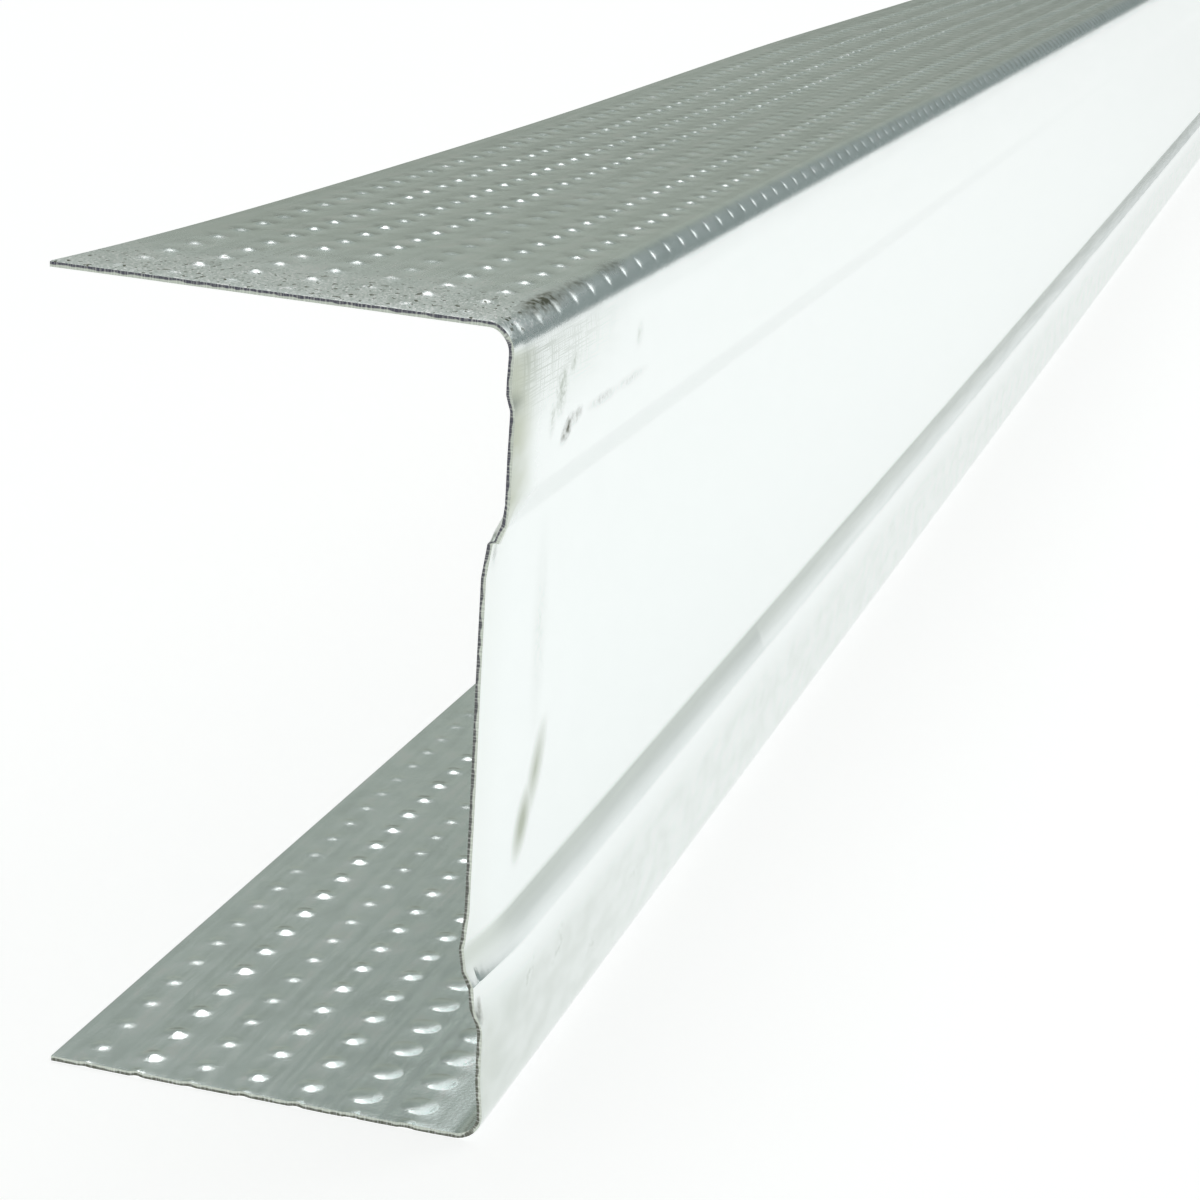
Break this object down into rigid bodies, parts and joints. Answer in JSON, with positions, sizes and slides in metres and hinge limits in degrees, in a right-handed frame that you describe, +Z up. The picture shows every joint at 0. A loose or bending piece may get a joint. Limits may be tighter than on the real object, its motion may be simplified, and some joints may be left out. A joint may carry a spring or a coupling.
{
  "type": "drywall track",
  "caption": "Straight U-section runner of galvanised sheet steel with dimpled flanges and a recessed web panel, for the floor or ceiling line of a drywall partition.",
  "frame": {"origin": "centre of the rectangle that the track covers on the floor, at floor level: halfway along its length and halfway across its flanges", "axes": "+X along the length, +Y from the web towards the lips of the flanges, +Z up from the lower flange to the upper flange"},
  "size_m": [3, 0.04, 0.071],
  "materials": {
    "galvanised_sheet": "hot-dip galvanised sheet, satin grey, with bare sheared edges"
  },
  "bodies": {
    "root": {"track": "galvanised_sheet"}
  },
  "joints": []
}
